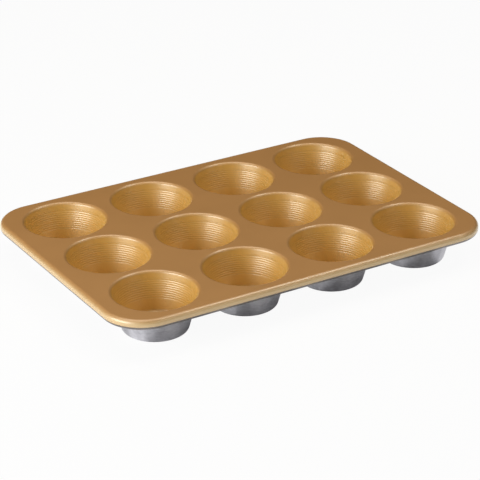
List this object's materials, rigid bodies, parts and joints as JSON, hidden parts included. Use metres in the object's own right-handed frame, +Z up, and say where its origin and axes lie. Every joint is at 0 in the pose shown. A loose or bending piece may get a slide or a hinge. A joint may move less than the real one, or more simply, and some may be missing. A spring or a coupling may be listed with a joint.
{
  "type": "muffin tin",
  "caption": "Rectangular baking tin with rounded corners, a wired rim and rows of tapered round cups with rounded lips and ribbed walls, seamed into a flat deck.",
  "frame": {"origin": "on the table, under the middle of the tin", "axes": "+Z up, +X along the long side, +Y from the front row to the back row"},
  "size_m": [0.3646, 0.253, 0.034],
  "materials": {
    "deck_coating": "satin gold non-stick coating on sheet steel",
    "cup_sheet": "satin gold non-stick coating inside, bare spangled aluminised steel outside",
    "wire_steel": "drawn steel wire"
  },
  "bodies": {
    "root": {"deck": "deck_coating", "rim_wire": "wire_steel", "front_cup_1": "cup_sheet", "front_cup_2": "cup_sheet", "front_cup_3": "cup_sheet", "front_cup_4": "cup_sheet", "middle_cup_1": "cup_sheet", "middle_cup_2": "cup_sheet", "middle_cup_3": "cup_sheet", "middle_cup_4": "cup_sheet", "back_cup_1": "cup_sheet", "back_cup_2": "cup_sheet", "back_cup_3": "cup_sheet", "back_cup_4": "cup_sheet"}
  },
  "joints": []
}
